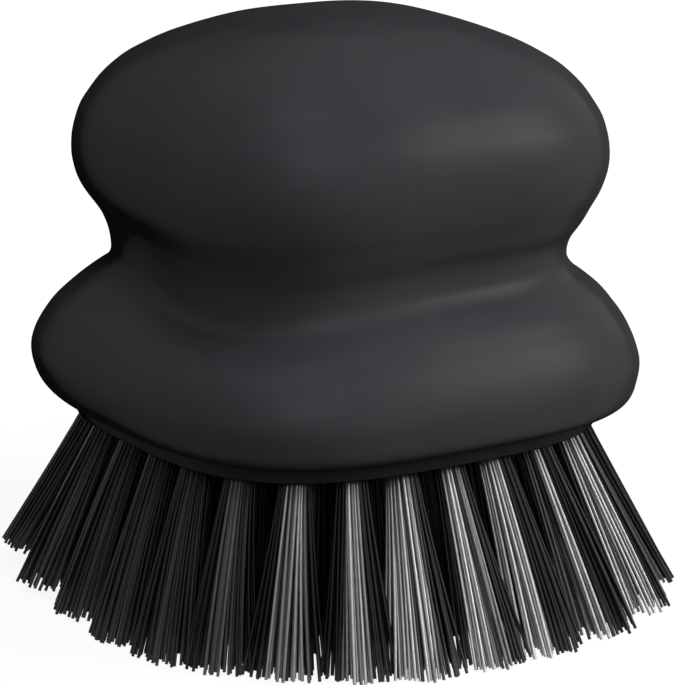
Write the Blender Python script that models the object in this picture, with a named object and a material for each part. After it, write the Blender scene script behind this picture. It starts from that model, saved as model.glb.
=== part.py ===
"""A short-handled palm dish brush.

A soft skin is moulded over a hollow core made of two half shells. A bristle block snaps into the
open bottom of the core, and each of its blind holes holds one tuft. Heights are measured from the
surface that the trimmed bristle tips stand on, and X is the long way of the brush.
"""

import math
import random
from collections import namedtuple

import bmesh
import bpy
import numpy as np
from mathutils import Matrix, Vector
from mathutils.geometry import interpolate_bezier

MM = 0.001
GAP = 0.3 * MM
TOUCHING = 0.001 * MM
SHARP_ANGLE = math.radians(40)

# Plan: every level is the same rounded oblong, scaled by the radius that its profile gives.
WIDTH_SHARE = 0.91
PLAN_POWER = 3.0
PLAN_POINTS = 965
SEGMENTS = 44

# Profile of the grip from its rim up to its crown, as (half length along X, height).
GRIP_STATIONS = (
    (31.5 * MM, 24.1 * MM),
    (34.4 * MM, 26.4 * MM),
    (35.3 * MM, 29.9 * MM),
    (34.1 * MM, 33.5 * MM),
    (31.6 * MM, 36.9 * MM),
    (28.2 * MM, 39.8 * MM),
    (25.8 * MM, 43.1 * MM),
    (27.5 * MM, 47.2 * MM),
    (29.5 * MM, 50.9 * MM),
    (30.7 * MM, 55.8 * MM),
    (29.7 * MM, 60.5 * MM),
    (26.3 * MM, 65.2 * MM),
    (20.0 * MM, 69.1 * MM),
    (11.2 * MM, 71.9 * MM),
    (0.0, 72.9 * MM),
)
GRIP_RIM = GRIP_STATIONS[0][1]
OUTER_ROWS = 20
INNER_ROWS = 12
KNOT_POINTS = 17
RUN_POINTS = 241
TURN_WEIGHT = 6.0 * MM

# Walls of the skin and of the core under it.
SKIN_WALL = 2.2 * MM
CORE_WALL = 2.0 * MM
LIP_HEIGHT = 1.5 * MM
LIP_RADIUS = 30.1 * MM

# Skirt of the core, which the spigot of the block snaps into.
SKIRT_RADIUS = 29.5 * MM
SKIRT_BOTTOM = 26.6 * MM
SKIRT_TOP = 31.7 * MM
SNAP_HEIGHT = 28.5 * MM
SNAP_DEPTH = 0.7 * MM
SNAP_HALF = 0.6 * MM
SNAP_SLOPE = 0.4 * MM

# Rings and bosses inside the core.
RING_HEIGHTS = (43.4 * MM, 50.4 * MM)
RING_DEPTH = 4.0 * MM
RING_THICKNESS = 1.6 * MM
BOSS_HEIGHTS = (36.4 * MM, 57.4 * MM)
BOSS_RADIUS = 2.7 * MM
BOSS_LENGTH = 9.0 * MM
BOSS_BITE = 1.1 * MM
PEG_RADIUS = 1.2 * MM
PEG_REACH = 3.0 * MM
BOSS_SIDES = 16
PEG_SIDES = 12
SPACE_SIZE = 200 * MM

# Bristle block: a thin flange that shows as a band, and a spigot above it.
BLOCK_UNDERSIDE = 22.1 * MM
FLANGE_RADIUS = 30.8 * MM
FLANGE_TOP = GRIP_RIM - GAP
FLANGE_EDGE = 0.35 * MM
SEAT_RADIUS = LIP_RADIUS - GAP
SEAT_TOP = GRIP_RIM + LIP_HEIGHT
SPIGOT_RADIUS = SKIRT_RADIUS - GAP
SPIGOT_TOP = 31.4 * MM
SPIGOT_CHAMFER = 0.8 * MM

# Tuft holes, and the folded root that fills each of them.
HOLE_RADIUS = 2.0 * MM
HOLE_DEPTH = 7.5 * MM
HOLE_SIDES = 8
HOLE_OVERRUN = 3.0 * MM
ROOT_RADIUS = 1.68 * MM
ROOT_SIDES = 8
ROOT_RECESS = 0.7 * MM

# Rows of tufts, which lean straight out from the axis. inset is from the flange's edge, turn is in
# steps between tufts, and spread is how many times wider a tuft is at its tips than at its root.
# The rows run along a slightly squarer oblong than the grip, so the corners are as full as the sides.
ROW_POWER = 3.6
Row = namedtuple("Row", "name inset count turn lean strands spread")
ROWS = (
    Row("outer_tuft", 3.5 * MM, 26, 0.5, math.radians(23), 11, 2.5),
    Row("middle_tuft", 10.4 * MM, 18, 0.5, math.radians(16), 6, 2.5),
    Row("inner_tuft", 17.2 * MM, 8, 0.0, math.radians(10), 6, 2.5),
    Row("centre_tuft", 24.0 * MM, 4, 0.5, math.radians(4), 6, 2.5),
)
STRAND_OVERLAP = 0.5 * MM
STRAND_RADIUS = 0.34 * MM
STRAND_SIDES = 3
TIP_TRIM = 0.5 * MM
TIP_SCATTER = 1.2 * MM
GOLDEN_ANGLE = math.pi * (3 - math.sqrt(5))

# Colours are linear.
MATERIALS = {
    "soft_grip": ((0.034, 0.034, 0.037), 0.55),
    "core_plastic": ((0.090, 0.092, 0.098), 0.45),
    "block_plastic": ((0.013, 0.013, 0.014), 0.40),
    "bristle_nylon": ((0.010, 0.010, 0.011), 0.35),
}


def clear_scene():
    for obj in list(bpy.data.objects):
        bpy.data.objects.remove(obj, do_unlink=True)


def new_collection(name):
    collection = bpy.data.collections.new(name)
    bpy.context.scene.collection.children.link(collection)
    return collection


def new_material(name):
    colour, roughness = MATERIALS[name]
    material = bpy.data.materials.new(name)
    material.use_nodes = True
    shader = material.node_tree.nodes["Principled BSDF"]
    shader.inputs["Base Color"].default_value = (*colour, 1.0)
    shader.inputs["Roughness"].default_value = roughness
    shader.inputs["Metallic"].default_value = 0.0
    material.diffuse_color = (*colour, 1.0)
    return material


def mesh_from(bm, name):
    bmesh.ops.recalc_face_normals(bm, faces=bm.faces)
    mesh = bpy.data.meshes.new(name)
    bm.to_mesh(mesh)
    bm.free()
    return mesh


def add_part(name, mesh, material, collection):
    if not mesh.materials:
        mesh.materials.append(material)
    part = bpy.data.objects.new(name, mesh)
    collection.objects.link(part)
    return part


def add_cutter(name, mesh, collection):
    cutter = bpy.data.objects.new(name, mesh)
    cutter.hide_render = True
    cutter.display_type = "WIRE"
    collection.objects.link(cutter)
    return cutter


def add_boolean(part, operation, other):
    modifier = part.modifiers.new(f"{operation.lower()}_{other.name}", "BOOLEAN")
    modifier.operation = operation
    modifier.solver = "EXACT"
    modifier.object = other


# Curves of the profile

def smooth_run(stations):
    """Close points on a smooth curve that is level at the axis, closer where the curve turns more."""
    knots = [Vector(station) for station in stations]
    tangents = [(after - before).normalized() for before, after in zip(knots, knots[2:])]
    tangents.insert(0, (knots[1] - knots[0]).normalized())
    tangents.append(Vector((-1.0, 0.0)))
    dense = []
    for i in range(len(knots) - 1):
        reach = (knots[i + 1] - knots[i]).length / 3
        out_handle = knots[i] + tangents[i] * reach
        in_handle = knots[i + 1] - tangents[i + 1] * reach
        piece = interpolate_bezier(knots[i], out_handle, in_handle, knots[i + 1], KNOT_POINTS)
        dense += piece[:-1]
    dense.append(knots[-1])
    path = np.array(dense)
    steps = np.diff(path, axis=0)
    headings = np.unwrap(np.arctan2(steps[:, 1], steps[:, 0]))
    turns = np.abs(np.diff(headings, prepend=headings[0]))
    along = np.cumsum(np.linalg.norm(steps, axis=1) + TURN_WEIGHT * turns)
    along = np.concatenate([[0.0], along])
    wanted = np.linspace(0.0, along[-1], RUN_POINTS)
    radii = np.interp(wanted, along, path[:, 0])
    heights = np.interp(wanted, along, path[:, 1])
    return [Vector(point) for point in zip(radii, heights)]


def grip_run(rows, inset=0.0):
    """The grip's profile from rim to crown in this many steps, moved in square to itself."""
    run = smooth_run(GRIP_STATIONS)
    moved = []
    for i, point in enumerate(run):
        along = run[min(i + 1, len(run) - 1)] - run[max(i - 1, 0)]
        inward = Vector((-along.y, along.x)).normalized()
        moved.append(point + inward * inset)
    moved[-1].x = 0.0
    step = (len(run) - 1) // rows
    return moved[::step]


def cut_below(run, height):
    """The part of a climbing run above this height, with a point added at the cut."""
    kept = [point for point in run if point.y > height]
    return [Vector((radius_at(run, height), height)), *kept]


def radius_at(run, height):
    heights = [point.y for point in run]
    radii = [point.x for point in run]
    return float(np.interp(height, heights, radii))


def on_plan(half_length, half_width, angle, power=PLAN_POWER):
    """Point of a rounded oblong about the axis, in the direction of this angle."""
    c, s = math.cos(angle), math.sin(angle)
    reach = (abs(c / half_length) ** power + abs(s / half_width) ** power) ** (-1 / power)
    return Vector((reach * c, reach * s, 0.0))


# Solids of the grip and of the block

def turned(outline, name):
    """A profile turned about Z, then pressed from round into the rounded oblong.

    An end of the profile that stops short of the axis gets a flat cap.
    """
    bm = bmesh.new()
    verts = [bm.verts.new((point[0], 0.0, point[1])) for point in outline]
    edges = [bm.edges.new(pair) for pair in zip(verts, verts[1:])]
    bmesh.ops.spin(
        bm,
        geom=verts + edges,
        cent=(0.0, 0.0, 0.0),
        axis=(0.0, 0.0, 1.0),
        angle=math.tau,
        steps=SEGMENTS,
        use_merge=True,
    )
    bmesh.ops.remove_doubles(bm, verts=bm.verts, dist=TOUCHING)
    open_ends = [edge for edge in bm.edges if edge.is_boundary]
    bmesh.ops.holes_fill(bm, edges=open_ends, sides=0)
    for vert in bm.verts:
        radius = math.hypot(vert.co.x, vert.co.y)
        if radius > TOUCHING:
            angle = math.atan2(vert.co.y, vert.co.x)
            pressed = on_plan(radius, radius * WIDTH_SHARE, angle)
            vert.co.x = pressed.x
            vert.co.y = pressed.y
    mesh = mesh_from(bm, name)
    shade_round(mesh)
    return mesh


def shade_round(mesh):
    mesh.shade_smooth()
    mesh.set_sharp_from_angle(angle=SHARP_ANGLE)


def build_skin(collection, material):
    """Soft skin: its rim is a narrow land that closes on the flange of the block."""
    outer = grip_run(OUTER_ROWS)
    inner = grip_run(INNER_ROWS, SKIN_WALL)
    lip = [(LIP_RADIUS, GRIP_RIM), (LIP_RADIUS, inner[0].y)]
    mesh = turned([*outer[::-1], *lip, *inner[1:]], "grip_skin")
    return add_part("grip_skin", mesh, material, collection)


def core_outline():
    """Core wall from the crown down its outside, round the skirt and up its inside past the rings.

    Both ends stop short of the axis, so the crown is flat there and the parting cut leaves it clean.
    """
    outer = cut_below(grip_run(INNER_ROWS, SKIN_WALL + GAP), SKIRT_BOTTOM)
    groove_low = SNAP_HEIGHT - SNAP_HALF
    groove_high = SNAP_HEIGHT + SNAP_HALF
    skirt = [
        (SKIRT_RADIUS, SKIRT_BOTTOM),
        (SKIRT_RADIUS, groove_low - SNAP_SLOPE),
        (SKIRT_RADIUS + SNAP_DEPTH, groove_low),
        (SKIRT_RADIUS + SNAP_DEPTH, groove_high),
        (SKIRT_RADIUS, groove_high + SNAP_SLOPE),
        (SKIRT_RADIUS, SKIRT_TOP),
    ]
    inner = grip_run(INNER_ROWS, SKIN_WALL + GAP + CORE_WALL)
    inside = [point for point in inner if point.y > SKIRT_TOP + CORE_WALL / 2]
    for height in RING_HEIGHTS:
        inside = add_ring(inside, height)
    return [*outer[-2::-1], *skirt, *inside[:-1]]


def add_ring(run, height):
    """The run with a stiffening ring that stands inward from it at this height."""
    low = height - RING_THICKNESS / 2
    high = height + RING_THICKNESS / 2
    edge = radius_at(run, height) - RING_DEPTH
    ring = [
        Vector((radius_at(run, low), low)),
        Vector((edge, low)),
        Vector((edge, high)),
        Vector((radius_at(run, high), high)),
    ]
    below = [point for point in run if point.y < low]
    above = [point for point in run if point.y > high]
    return below + ring + above


def rods(name, places, radius, start, end, sides):
    """Cylinders along Y from start to end, one at each (x, z)."""
    bm = bmesh.new()
    turn = Matrix.Rotation(math.radians(90), 4, "X")
    for x, z in places:
        centre = Matrix.Translation((x, (start + end) / 2, z))
        bmesh.ops.create_cone(
            bm,
            cap_ends=True,
            segments=sides,
            radius1=radius,
            radius2=radius,
            depth=abs(end - start),
            matrix=centre @ turn,
        )
    return mesh_from(bm, name)


def half_space(name, front):
    """A box on one side of the parting plane, half a gap away from it."""
    bm = bmesh.new()
    bmesh.ops.create_cube(bm, size=SPACE_SIZE)
    shift = (SPACE_SIZE + GAP) / 2
    bmesh.ops.translate(bm, verts=bm.verts, vec=(0.0, -shift if front else shift, 0.0))
    return mesh_from(bm, name)


def build_core(collection, cutters, material):
    """Two half shells that meet on the plane through X and Z, located by pegs in sockets."""
    inner = grip_run(INNER_ROWS, SKIN_WALL + GAP + CORE_WALL)
    places = []
    for height in BOSS_HEIGHTS:
        x = radius_at(inner, height) - BOSS_RADIUS + BOSS_BITE
        places += [(x, height), (-x, height)]
    shell = turned(core_outline(), "core_shell")
    both = add_cutter(
        "bosses",
        rods("bosses", places, BOSS_RADIUS, -BOSS_LENGTH, BOSS_LENGTH, BOSS_SIDES),
        cutters,
    )
    pegs = add_cutter(
        "pegs",
        rods("pegs", places, PEG_RADIUS, -BOSS_LENGTH / 2, PEG_REACH, PEG_SIDES),
        cutters,
    )
    sockets = add_cutter(
        "peg_sockets",
        rods("peg_sockets", places, PEG_RADIUS + GAP, -GAP, PEG_REACH + 2 * GAP, PEG_SIDES),
        cutters,
    )
    for name, front in (("core_shell_front", True), ("core_shell_back", False)):
        part = add_part(name, shell.copy(), material, collection)
        side = add_cutter(f"{name}_side", half_space(f"{name}_side", front), cutters)
        add_boolean(part, "UNION", both)
        add_boolean(part, "INTERSECT", side)
        if front:
            add_boolean(part, "UNION", pegs)
        else:
            add_boolean(part, "DIFFERENCE", sockets)


def block_outline():
    """Spigot from its top centre down past the snap bead to the flange and the flat underside."""
    return [
        (0.0, SPIGOT_TOP),
        (SPIGOT_RADIUS - SPIGOT_CHAMFER, SPIGOT_TOP),
        (SPIGOT_RADIUS, SPIGOT_TOP - SPIGOT_CHAMFER),
        (SPIGOT_RADIUS, SNAP_HEIGHT + SNAP_HALF),
        (SPIGOT_RADIUS + SNAP_DEPTH, SNAP_HEIGHT),
        (SPIGOT_RADIUS, SNAP_HEIGHT - SNAP_HALF),
        (SPIGOT_RADIUS, SEAT_TOP + SEAT_RADIUS - SPIGOT_RADIUS),
        (SEAT_RADIUS, SEAT_TOP),
        (SEAT_RADIUS, FLANGE_TOP),
        (FLANGE_RADIUS, FLANGE_TOP),
        (FLANGE_RADIUS, BLOCK_UNDERSIDE + FLANGE_EDGE),
        (FLANGE_RADIUS - FLANGE_EDGE, BLOCK_UNDERSIDE),
        (0.0, BLOCK_UNDERSIDE),
    ]


def row_places(row):
    """(middle of the hole's mouth, outward angle) of each tuft, evenly spaced round its row."""
    half_length = FLANGE_RADIUS - row.inset
    half_width = FLANGE_RADIUS * WIDTH_SHARE - row.inset
    angles = np.linspace(0.0, math.tau, PLAN_POINTS)
    ring = np.array([on_plan(half_length, half_width, angle, ROW_POWER) for angle in angles])
    along = np.concatenate([[0.0], np.cumsum(np.linalg.norm(np.diff(ring, axis=0), axis=1))])
    places = []
    for i in range(row.count):
        outward = float(np.interp((i + row.turn) * along[-1] / row.count, along, angles))
        point = on_plan(half_length, half_width, outward, ROW_POWER)
        point.z = BLOCK_UNDERSIDE
        places.append((point, outward))
    return places


def build_block(collection, cutters, material):
    bm = bmesh.new()
    for row in ROWS:
        for point, outward in row_places(row):
            tilt = Matrix.Rotation(outward, 4, "Z") @ Matrix.Rotation(-row.lean, 4, "Y")
            up = Matrix.Translation((0.0, 0.0, (HOLE_DEPTH - HOLE_OVERRUN) / 2))
            place = Matrix.Translation(point) @ tilt @ up
            bmesh.ops.create_cone(
                bm,
                cap_ends=True,
                segments=HOLE_SIDES,
                radius1=HOLE_RADIUS,
                radius2=HOLE_RADIUS,
                depth=HOLE_DEPTH + HOLE_OVERRUN,
                matrix=place,
            )
    holes = add_cutter("tuft_holes", mesh_from(bm, "tuft_holes"), cutters)
    part = add_part("bristle_block", turned(block_outline(), "bristle_block"), material, collection)
    add_boolean(part, "DIFFERENCE", holes)


# Tufts

def tuft_mesh(row, seed, collection):
    """Strands fused to the folded root that fills a hole, trimmed flat where the brush stands.

    The origin is the middle of the hole's mouth, and the tuft leans towards +X.
    """
    rng = random.Random(seed)
    tilt = Matrix.Rotation(-row.lean, 4, "Y")
    floor = -BLOCK_UNDERSIDE
    root_length = HOLE_DEPTH - GAP - ROOT_RECESS
    root = bmesh.new()
    bmesh.ops.create_cone(
        root,
        cap_ends=True,
        segments=ROOT_SIDES,
        radius1=ROOT_RADIUS,
        radius2=ROOT_RADIUS,
        depth=root_length,
        matrix=tilt @ Matrix.Translation((0.0, 0.0, ROOT_RECESS + root_length / 2)),
    )
    strands = bmesh.new()
    for i in range(row.strands):
        reach = (ROOT_RADIUS - STRAND_RADIUS) * math.sqrt((i + 0.5) / row.strands)
        angle = i * GOLDEN_ANGLE
        side = Vector((math.cos(angle), math.sin(angle), 0.0)) * reach
        start = tilt @ (side + Vector((0.0, 0.0, ROOT_RECESS + STRAND_OVERLAP)))
        aim = tilt @ (side * row.spread + Vector((0.0, 0.0, floor)))
        direction = (aim - start).normalized()
        tip = floor - TIP_TRIM + TIP_SCATTER * rng.random()
        length = (start.z - tip) / -direction.z
        turn = direction.to_track_quat("Z", "Y").to_matrix().to_4x4()
        bmesh.ops.create_cone(
            strands,
            cap_ends=True,
            segments=STRAND_SIDES,
            radius1=STRAND_RADIUS,
            radius2=STRAND_RADIUS,
            depth=length,
            matrix=Matrix.Translation(start + direction * length / 2) @ turn,
        )
    trimmed = bmesh.ops.bisect_plane(
        strands,
        geom=strands.verts[:] + strands.edges[:] + strands.faces[:],
        plane_co=(0.0, 0.0, floor),
        plane_no=(0.0, 0.0, -1.0),
        clear_outer=True,
    )
    rim = [item for item in trimmed["geom_cut"] if isinstance(item, bmesh.types.BMEdge)]
    bmesh.ops.edgeloop_fill(strands, edges=rim)
    part = add_cutter("root", mesh_from(root, "root"), collection)
    other = add_cutter("strands", mesh_from(strands, "strands"), collection)
    add_boolean(part, "UNION", other)
    graph = bpy.context.evaluated_depsgraph_get()
    fused = bpy.data.meshes.new_from_object(part.evaluated_get(graph), depsgraph=graph)
    fused.name = f"{row.name}_{seed}"
    fused.materials.clear()
    for helper in (part, other):
        bpy.data.objects.remove(helper, do_unlink=True)
    return fused


def build_tufts(collection, cutters, material):
    """One half of each row is the other half turned round, so the two halves share their meshes."""
    for row in ROWS:
        meshes = []
        for i, (point, outward) in enumerate(row_places(row)):
            if i < row.count // 2:
                meshes.append(tuft_mesh(row, i, cutters))
            mesh = meshes[i % (row.count // 2)]
            part = add_part(f"{row.name}_{i + 1:02d}", mesh, material, collection)
            part.location = point
            part.rotation_euler.z = outward


def main():
    clear_scene()
    parts = new_collection("dish_brush")
    cutters = new_collection("cutters")
    materials = {name: new_material(name) for name in MATERIALS}
    build_skin(parts, materials["soft_grip"])
    build_core(parts, cutters, materials["core_plastic"])
    build_block(parts, cutters, materials["block_plastic"])
    build_tufts(parts, cutters, materials["bristle_nylon"])


main()
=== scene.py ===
# %% [markdown]
# A palm brush for dishes
#
# The brush is held in the palm. A soft rubber grip, shaped like a bulge on a bulge, covers a hollow
# plastic core. A plastic block snaps in from below and carries 56 tufts of black nylon strands.
# This lesson loads the solids of the brush, gives each visible one a finer shape, and finishes all
# of them with materials made of nodes.

# %% Load the solids
import math

import bmesh
import bpy
import numpy as np
from mathutils import Matrix, Vector


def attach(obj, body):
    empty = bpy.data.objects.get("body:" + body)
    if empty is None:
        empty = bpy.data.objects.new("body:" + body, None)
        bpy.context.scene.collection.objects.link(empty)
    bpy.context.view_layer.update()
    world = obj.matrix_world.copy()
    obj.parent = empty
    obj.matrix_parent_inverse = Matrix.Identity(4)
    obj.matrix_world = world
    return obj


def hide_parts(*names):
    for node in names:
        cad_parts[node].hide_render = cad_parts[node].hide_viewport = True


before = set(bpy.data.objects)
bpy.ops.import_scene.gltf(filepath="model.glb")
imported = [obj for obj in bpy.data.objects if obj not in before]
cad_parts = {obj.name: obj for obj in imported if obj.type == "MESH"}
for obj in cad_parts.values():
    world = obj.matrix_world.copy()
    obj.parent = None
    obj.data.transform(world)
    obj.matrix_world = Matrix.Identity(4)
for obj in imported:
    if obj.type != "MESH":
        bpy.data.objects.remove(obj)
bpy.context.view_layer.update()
MM = 0.001

# %% [markdown]
# The camera
#
# The photograph looks at a corner of the brush, a little from above, through a long lens. The place
# of the camera follows from where known points of the brush fall in the picture. It is set by the
# point it looks at, its turn round the brush, its rise above the floor and its distance.

# %% Place the camera
CAMERA_TURN = math.radians(34.47)
CAMERA_RISE = math.radians(15.25)
CAMERA_ROLL = math.radians(1.19)
CAMERA_DISTANCE = 418.9 * MM
CAMERA_TARGET = Vector((0.354, -0.243, 30.65)) * MM
CAMERA_LENS = 177.7
SENSOR_WIDTH = 36.0

camera_back = Vector((
    -math.sin(CAMERA_TURN) * math.cos(CAMERA_RISE),
    -math.cos(CAMERA_TURN) * math.cos(CAMERA_RISE),
    math.sin(CAMERA_RISE),
))
camera_data = bpy.data.cameras.new("photo camera")
camera_data.lens = CAMERA_LENS
camera_data.sensor_fit = "HORIZONTAL"
camera_data.sensor_width = SENSOR_WIDTH
camera = bpy.data.objects.new("photo camera", camera_data)
aim = (-camera_back).to_track_quat("-Z", "Y").to_matrix().to_4x4()
roll = Matrix.Rotation(CAMERA_ROLL, 4, "Z")
camera.matrix_world = Matrix.Translation(CAMERA_TARGET + camera_back * CAMERA_DISTANCE) @ aim @ roll
bpy.context.scene.collection.objects.link(camera)
bpy.context.scene.camera = camera
bpy.context.scene.view_settings.view_transform = "Standard"
print("camera at, in mm:", [round(v / MM) for v in camera.location])

# %% [markdown]
# Nodes as formulas
#
# Materials and shape trees are both made of nodes. Joining them one by one hides what they work
# out, so a small class wraps the output of a node, and its operators add the Math nodes. One
# function adds any other node: its settings come first, and then the values or links of its inputs.

# %% Write nodes as formulas
def add(tree, kind, settings=None, inputs=None, output=0):
    """Adds one node to a tree and returns one of its outputs, ready for arithmetic."""
    node = tree.nodes.new(kind)
    for name, value in (settings or {}).items():
        setattr(node, name, value)
    for name, value in (inputs or {}).items():
        if isinstance(value, Wire):
            tree.links.new(value.socket, node.inputs[name])
        else:
            node.inputs[name].default_value = value
    return Wire(tree, node.outputs[output]) if node.outputs else None


class Wire:
    """The output of a node. Arithmetic on it adds Math nodes."""

    def __init__(self, tree, socket):
        self.tree = tree
        self.socket = socket

    def math(self, operation, *values):
        return add(self.tree, "ShaderNodeMath", {"operation": operation}, dict(enumerate(values)))

    def other(self, output):
        """Another output of the same node."""
        return Wire(self.tree, self.socket.node.outputs[output])

    def __add__(self, value):
        return self.math("ADD", self, value)

    def __sub__(self, value):
        return self.math("SUBTRACT", self, value)

    def __rsub__(self, value):
        return self.math("SUBTRACT", value, self)

    def __mul__(self, value):
        return self.math("MULTIPLY", self, value)

    def __truediv__(self, value):
        return self.math("DIVIDE", self, value)

    def __rtruediv__(self, value):
        return self.math("DIVIDE", value, self)

    def __pow__(self, value):
        return self.math("POWER", self, value)

    __radd__ = __add__
    __rmul__ = __mul__


# %% [markdown]
# A modelled shape from a tree of nodes
#
# A tree of shape nodes works on an object through a modifier. The brush needs plain meshes in the
# end, so each tree is run once and its result is kept as the mesh of the piece. The inputs of a
# tree are set by their identifiers before it runs.

# %% Run a shape tree once
def new_shape_tree(name, inputs):
    """Makes an empty tree with a shape input, the named inputs and a shape output."""
    tree = bpy.data.node_groups.new(name, "GeometryNodeTree")
    tree.interface.new_socket("Geometry", in_out="INPUT", socket_type="NodeSocketGeometry")
    for label, kind in inputs.items():
        tree.interface.new_socket(label, in_out="INPUT", socket_type="NodeSocket" + kind)
    tree.interface.new_socket("Geometry", in_out="OUTPUT", socket_type="NodeSocketGeometry")
    start = tree.nodes.new("NodeGroupInput")
    return tree, {socket.name: Wire(tree, socket) for socket in start.outputs if socket.name}


def end_shape_tree(tree, shape, finish):
    """Turns instances into real faces, gives them their material and closes the tree."""
    real = add(tree, "GeometryNodeRealizeInstances", {}, {"Geometry": shape})
    painted = add(tree, "GeometryNodeSetMaterial", {}, {"Geometry": real, "Material": finish})
    end = tree.nodes.new("NodeGroupOutput")
    tree.links.new(painted.socket, end.inputs[0])


def run_shape_tree(name, tree, values, start_mesh=None):
    """Runs a tree with these values and returns an object that holds the resulting mesh."""
    piece = bpy.data.objects.new(name, start_mesh or bpy.data.meshes.new(name))
    bpy.context.scene.collection.objects.link(piece)
    modifier = piece.modifiers.new(tree.name, "NODES")
    modifier.node_group = tree
    for socket in tree.interface.items_tree:
        if socket.in_out == "INPUT" and socket.name in values:
            modifier[socket.identifier] = values[socket.name]
    bpy.context.view_layer.update()
    evaluated = piece.evaluated_get(bpy.context.evaluated_depsgraph_get())
    mesh = bpy.data.meshes.new_from_object(evaluated)
    piece.modifiers.remove(modifier)
    piece.data = mesh
    mesh.name = name
    return piece


# %% [markdown]
# The rubber of the grip
#
# The skin is a soft-touch rubber, moulded over the core: dark grey, nearly matt, and smooth to the
# hand. Close up it has a very fine grain from the mould, broad cloudy patches where hands have
# rubbed it, and a few lighter smears. The sheen is weak because the light sinks into the surface,
# so the gloss is low, and at glancing angles a second, matt shader takes it away altogether.

# %% Make the rubber
def new_finish(name):
    """Makes a material with an empty node tree, and returns both with its Object coordinates."""
    finish = bpy.data.materials.new(name)
    finish.use_nodes = True
    tree = finish.node_tree
    tree.nodes.clear()
    place = add(tree, "ShaderNodeTexCoord", {}, {}, "Object")
    return finish, tree, place


def noise(tree, place, size, detail=2.0, roughness=0.5):
    """Cloudy values around one half, with patches of about this size in metres."""
    inputs = {"Vector": place, "Scale": 1.0 / size, "Detail": detail, "Roughness": roughness}
    return add(tree, "ShaderNodeTexNoise", {}, inputs, "Fac")


def contrast(tree, value, low, high, to_low=0.0, to_high=1.0):
    """Stretches a value so that low becomes to_low and high becomes to_high, and stops there."""
    inputs = {"Value": value, "From Min": low, "From Max": high, "To Min": to_low, "To Max": to_high}
    return add(tree, "ShaderNodeMapRange", {}, inputs, "Result")


# A Mix node has sockets for several kinds of value. These are the ones for colours.
MIX_SHARE, MIX_FIRST, MIX_SECOND, MIX_RESULT = 0, 6, 7, 2


def blend_colours(tree, share, first, second):
    """Mixes two colours, each a triple of linear values or a link."""
    first, second = (colour if isinstance(colour, Wire) else (*colour, 1.0) for colour in (first, second))
    inputs = {MIX_SHARE: share, MIX_FIRST: first, MIX_SECOND: second}
    return add(tree, "ShaderNodeMix", {"data_type": "RGBA"}, inputs, MIX_RESULT)


# From this share of a glancing view the gloss fades, and from the second one it is gone.
GLOSS_FADES, GLOSS_GONE = 0.26, 0.70


def shade(tree, colour, roughness, gloss, bump=None, bump_distance=0.0, soft_edge=False, coat=None):
    """Ends a material in a Principled shader. A soft edge has no gloss at glancing angles."""
    inputs = {"Base Color": colour, "Roughness": roughness, **(coat or {})}
    if bump is not None:
        bump_inputs = {"Height": bump, "Distance": bump_distance, "Strength": 1.0}
        inputs["Normal"] = add(tree, "ShaderNodeBump", {}, bump_inputs)
    shader = add(tree, "ShaderNodeBsdfPrincipled", {}, {**inputs, "Specular IOR Level": gloss})
    if soft_edge:
        matt = add(tree, "ShaderNodeBsdfPrincipled", {}, {**inputs, "Specular IOR Level": 0.0})
        glancing = add(tree, "ShaderNodeLayerWeight", {}, {"Blend": 0.5}, "Facing")
        share = contrast(tree, glancing, GLOSS_FADES, GLOSS_GONE)
        shader = add(tree, "ShaderNodeMixShader", {}, {0: share, 1: shader, 2: matt})
    add(tree, "ShaderNodeOutputMaterial", {}, {"Surface": shader})


RUBBER_DARK = (0.042, 0.042, 0.046)
RUBBER_LIGHT = (0.050, 0.050, 0.054)
RUBBER_SMEAR = (0.066, 0.066, 0.068)
RUBBER_CLOUD_SIZE = 22 * MM
RUBBER_SMEAR_SIZE = 5 * MM
RUBBER_GRAIN_SIZE = 0.16 * MM
RUBBER_PIT_SIZE = 0.7 * MM
RUBBER_SMEAR_SHARE = 0.35
RUBBER_ROUGHNESS = 0.32
RUBBER_GLOSS = 0.055
RUBBER_RELIEF = 0.012 * MM

soft_rubber, tree, place = new_finish("soft rubber")
clouds = contrast(tree, noise(tree, place, RUBBER_CLOUD_SIZE, 4.0), 0.35, 0.65)
smears = contrast(tree, noise(tree, place, RUBBER_SMEAR_SIZE, 5.0, 0.6), 0.62, 0.82)
grain = noise(tree, place, RUBBER_GRAIN_SIZE, 2.0)
pits = noise(tree, place, RUBBER_PIT_SIZE, 2.0)
colour = blend_colours(tree, clouds, RUBBER_DARK, RUBBER_LIGHT)
colour = blend_colours(tree, smears * RUBBER_SMEAR_SHARE, colour, RUBBER_SMEAR)
shade(
    tree,
    colour,
    RUBBER_ROUGHNESS + 0.05 * clouds + 0.04 * smears + 0.04 * grain,
    RUBBER_GLOSS,
    grain * 0.7 + pits * 0.3,
    RUBBER_RELIEF,
    soft_edge=True,
)
print("rubber nodes:", len(tree.nodes))

# %% [markdown]
# The plan of the brush
#
# Seen from above, the grip and the block are the same rounded oblong: longer than wide, with sides
# that bow out. A superellipse draws it. At each height the plan only changes its size, so one
# outline, given as half lengths and heights, and one plan make the whole grip. The tree below takes
# the points of the outline and lays a grid over them: one row of the grid for each point, and one
# column for each step round the plan. Then the seam and the poles are merged. Two more numbers for
# each point of the outline make the form less regular: a shift of the whole section toward the
# right of the photograph, and a dip on one side, which falls off as a power of a cosine.

# %% Draw the tree that turns an outline
PLAN_SHARE = 0.91
PLAN_POWER = 3.0
SHIFT_TURN = math.radians(-34.5)
DIP_TURN = math.radians(-153)
DIP_POWER = 4.5
TOUCHING = 0.001 * MM

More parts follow.
